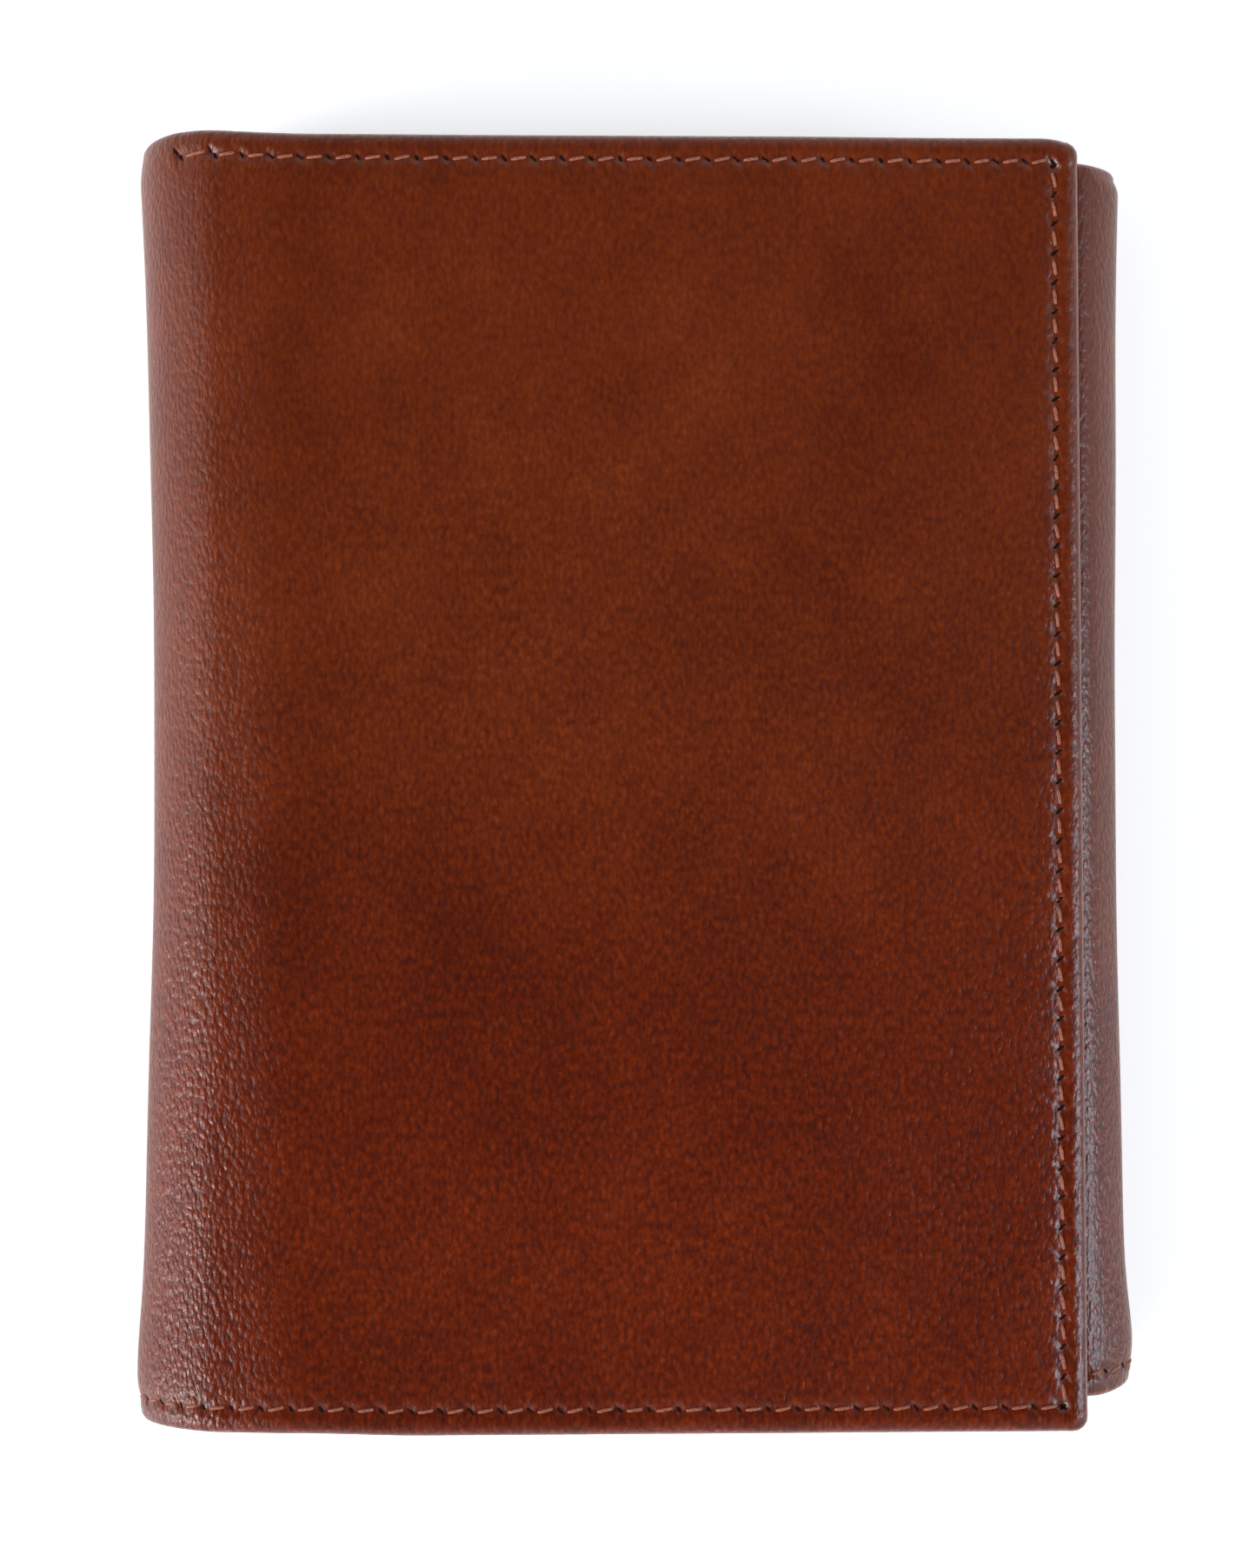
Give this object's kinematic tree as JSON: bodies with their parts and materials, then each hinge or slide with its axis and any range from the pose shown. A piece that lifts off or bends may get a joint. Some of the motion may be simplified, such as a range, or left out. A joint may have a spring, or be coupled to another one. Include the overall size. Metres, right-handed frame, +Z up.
{
  "type": "trifold wallet",
  "caption": "Closed brown leather trifold wallet with stitched edges, a wide soft fold, stepped card slots, a note compartment and a framed window for an identity card.",
  "frame": {"origin": "on the surface that the closed wallet lies on, under the centre of its bounding box", "axes": "+Z up through the front cover, +Y towards the wallet's top edge, +X from the left fold towards the right fold"},
  "size_m": [0.0866, 0.11, 0.0153],
  "materials": {
    "outer_leather": "semi-gloss pebble grain, red-brown",
    "inner_leather": "satin fine grain, brown",
    "lining": "woven, dark brown",
    "interlining": "bonded fibre, matte",
    "clear_film": "clear, glossy",
    "thread": "waxed polyester, light red-brown"
  },
  "bodies": {
    "back_panel": {"back_cover": "outer_leather", "back_interlining": "interlining", "back_lining": "lining", "back_divider": "inner_leather", "id_window_frame": "inner_leather", "id_window_film": "clear_film", "back_stitching": "thread"},
    "left_spine": {"left_spine_leather": "outer_leather", "left_spine_facing": "inner_leather", "left_spine_stitching": "thread"},
    "front_panel": {"front_cover": "outer_leather", "front_interlining": "interlining", "front_lining": "lining", "front_inner_panel": "inner_leather", "front_card_slot_1": "inner_leather", "front_card_slot_2": "inner_leather", "front_card_slot_3": "inner_leather", "front_slot_tails": "lining", "front_stitching": "thread", "bar_tack": "thread"},
    "right_spine": {"right_spine_leather": "outer_leather", "right_spine_lining": "lining", "right_spine_divider": "inner_leather", "right_spine_stitching": "thread"},
    "flap": {"flap_cover": "outer_leather", "flap_interlining": "interlining", "flap_lining": "lining", "flap_divider": "inner_leather", "flap_card_slot_1": "inner_leather", "flap_card_slot_2": "inner_leather", "flap_card_slot_3": "inner_leather", "flap_slot_tails": "lining", "flap_stitching": "thread"}
  },
  "joints": [
    {"name": "left_fold_lower", "type": "hinge", "parent": "back_panel", "child": "left_spine", "pos_m": [-0.04106, 0, 0.00224], "axis": [0, -1, 0], "range_deg": [0, 90]},
    {"name": "left_fold_upper", "type": "hinge", "parent": "left_spine", "child": "front_panel", "pos_m": [-0.04106, 0, 0.01306], "axis": [0, -1, 0], "range_deg": [0, 90]},
    {"name": "right_fold_lower", "type": "hinge", "parent": "back_panel", "child": "right_spine", "pos_m": [0.04185, 0, 0.00145], "axis": [0, 1, 0], "range_deg": [0, 90]},
    {"name": "right_fold_upper", "type": "hinge", "parent": "right_spine", "child": "flap", "pos_m": [0.04185, 0, 0.00845], "axis": [0, 1, 0], "range_deg": [0, 90]}
  ],
  "couplings": [
    {"joint": "left_fold_upper", "follows": "left_fold_lower", "ratio": 1},
    {"joint": "right_fold_lower", "follows": "left_fold_lower", "ratio": 0.3},
    {"joint": "right_fold_upper", "follows": "left_fold_lower", "ratio": 0.3}
  ]
}
